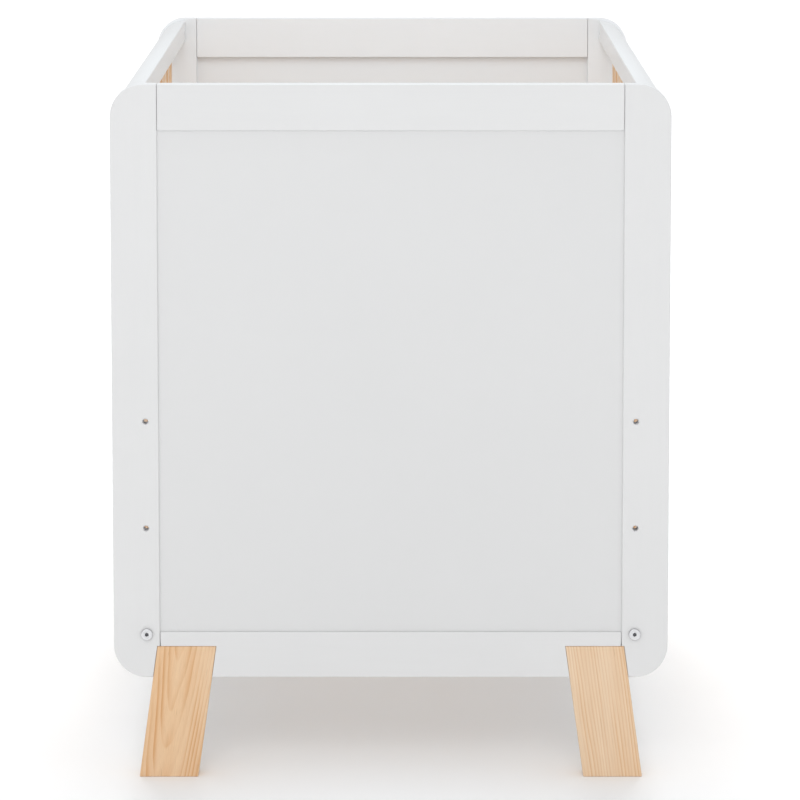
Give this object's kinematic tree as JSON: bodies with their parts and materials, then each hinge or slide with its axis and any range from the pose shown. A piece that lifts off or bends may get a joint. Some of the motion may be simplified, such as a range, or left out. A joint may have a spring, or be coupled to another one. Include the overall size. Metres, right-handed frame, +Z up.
{
  "type": "baby crib",
  "caption": "Baby crib with flat framed end panels, splayed wooden legs, slatted long sides and a wire mattress support that hangs at different heights.",
  "frame": {"origin": "on the floor, at the middle of the four feet's plane, under the middle of the crib", "axes": "+Z up, +Y along the crib's length from the front end panel to the rear one, +X to the right when facing the front end panel"},
  "size_m": [0.762, 1.381, 0.958],
  "materials": {
    "white_paint": "satin white paint on solid wood and board, edges slightly rounded",
    "natural_pine": "clear-lacquered light pine with visible grain",
    "zinc_plate": "bright zinc-plated steel",
    "white_powder_coat": "white powder-coated steel"
  },
  "bodies": {
    "crib_frame": {"front_end_top_rail": "white_paint", "front_end_bottom_rail": "white_paint", "front_end_centre_panel": "white_paint", "front_left_stile": "white_paint", "front_left_leg": "natural_pine", "front_left_support_bolt": "zinc_plate", "front_left_support_nut": "zinc_plate", "front_right_stile": "white_paint", "front_right_leg": "natural_pine", "front_right_support_bolt": "zinc_plate", "front_right_support_nut": "zinc_plate", "rear_end_top_rail": "white_paint", "rear_end_bottom_rail": "white_paint", "rear_end_centre_panel": "white_paint", "rear_left_stile": "white_paint", "rear_left_leg": "natural_pine", "rear_left_support_bolt": "zinc_plate", "rear_left_support_nut": "zinc_plate", "rear_right_stile": "white_paint", "rear_right_leg": "natural_pine", "rear_right_support_bolt": "zinc_plate", "rear_right_support_nut": "zinc_plate", "left_side_top_rail": "white_paint", "left_side_bottom_rail": "white_paint", "left_slat_01": "natural_pine", "left_slat_02": "natural_pine", "left_slat_03": "natural_pine", "left_slat_04": "natural_pine", "left_slat_05": "natural_pine", "left_slat_06": "natural_pine", "left_slat_07": "natural_pine", "left_slat_08": "natural_pine", "left_slat_09": "natural_pine", "left_slat_10": "natural_pine", "left_slat_11": "natural_pine", "left_slat_12": "natural_pine", "left_slat_13": "natural_pine", "right_side_top_rail": "white_paint", "right_side_bottom_rail": "white_paint", "right_slat_01": "natural_pine", "right_slat_02": "natural_pine", "right_slat_03": "natural_pine", "right_slat_04": "natural_pine", "right_slat_05": "natural_pine", "right_slat_06": "natural_pine", "right_slat_07": "natural_pine", "right_slat_08": "natural_pine", "right_slat_09": "natural_pine", "right_slat_10": "natural_pine", "right_slat_11": "natural_pine", "right_slat_12": "natural_pine", "right_slat_13": "natural_pine"},
    "mattress_support": {"support_front_rail": "white_powder_coat", "support_rear_rail": "white_powder_coat", "support_left_rail": "white_powder_coat", "support_right_rail": "white_powder_coat", "support_wire_grid": "white_powder_coat"}
  },
  "joints": [
    {"name": "mattress_height", "type": "slide", "parent": "crib_frame", "child": "mattress_support", "axis": [0, 0, 1], "range_m": [0, 0.296]}
  ]
}
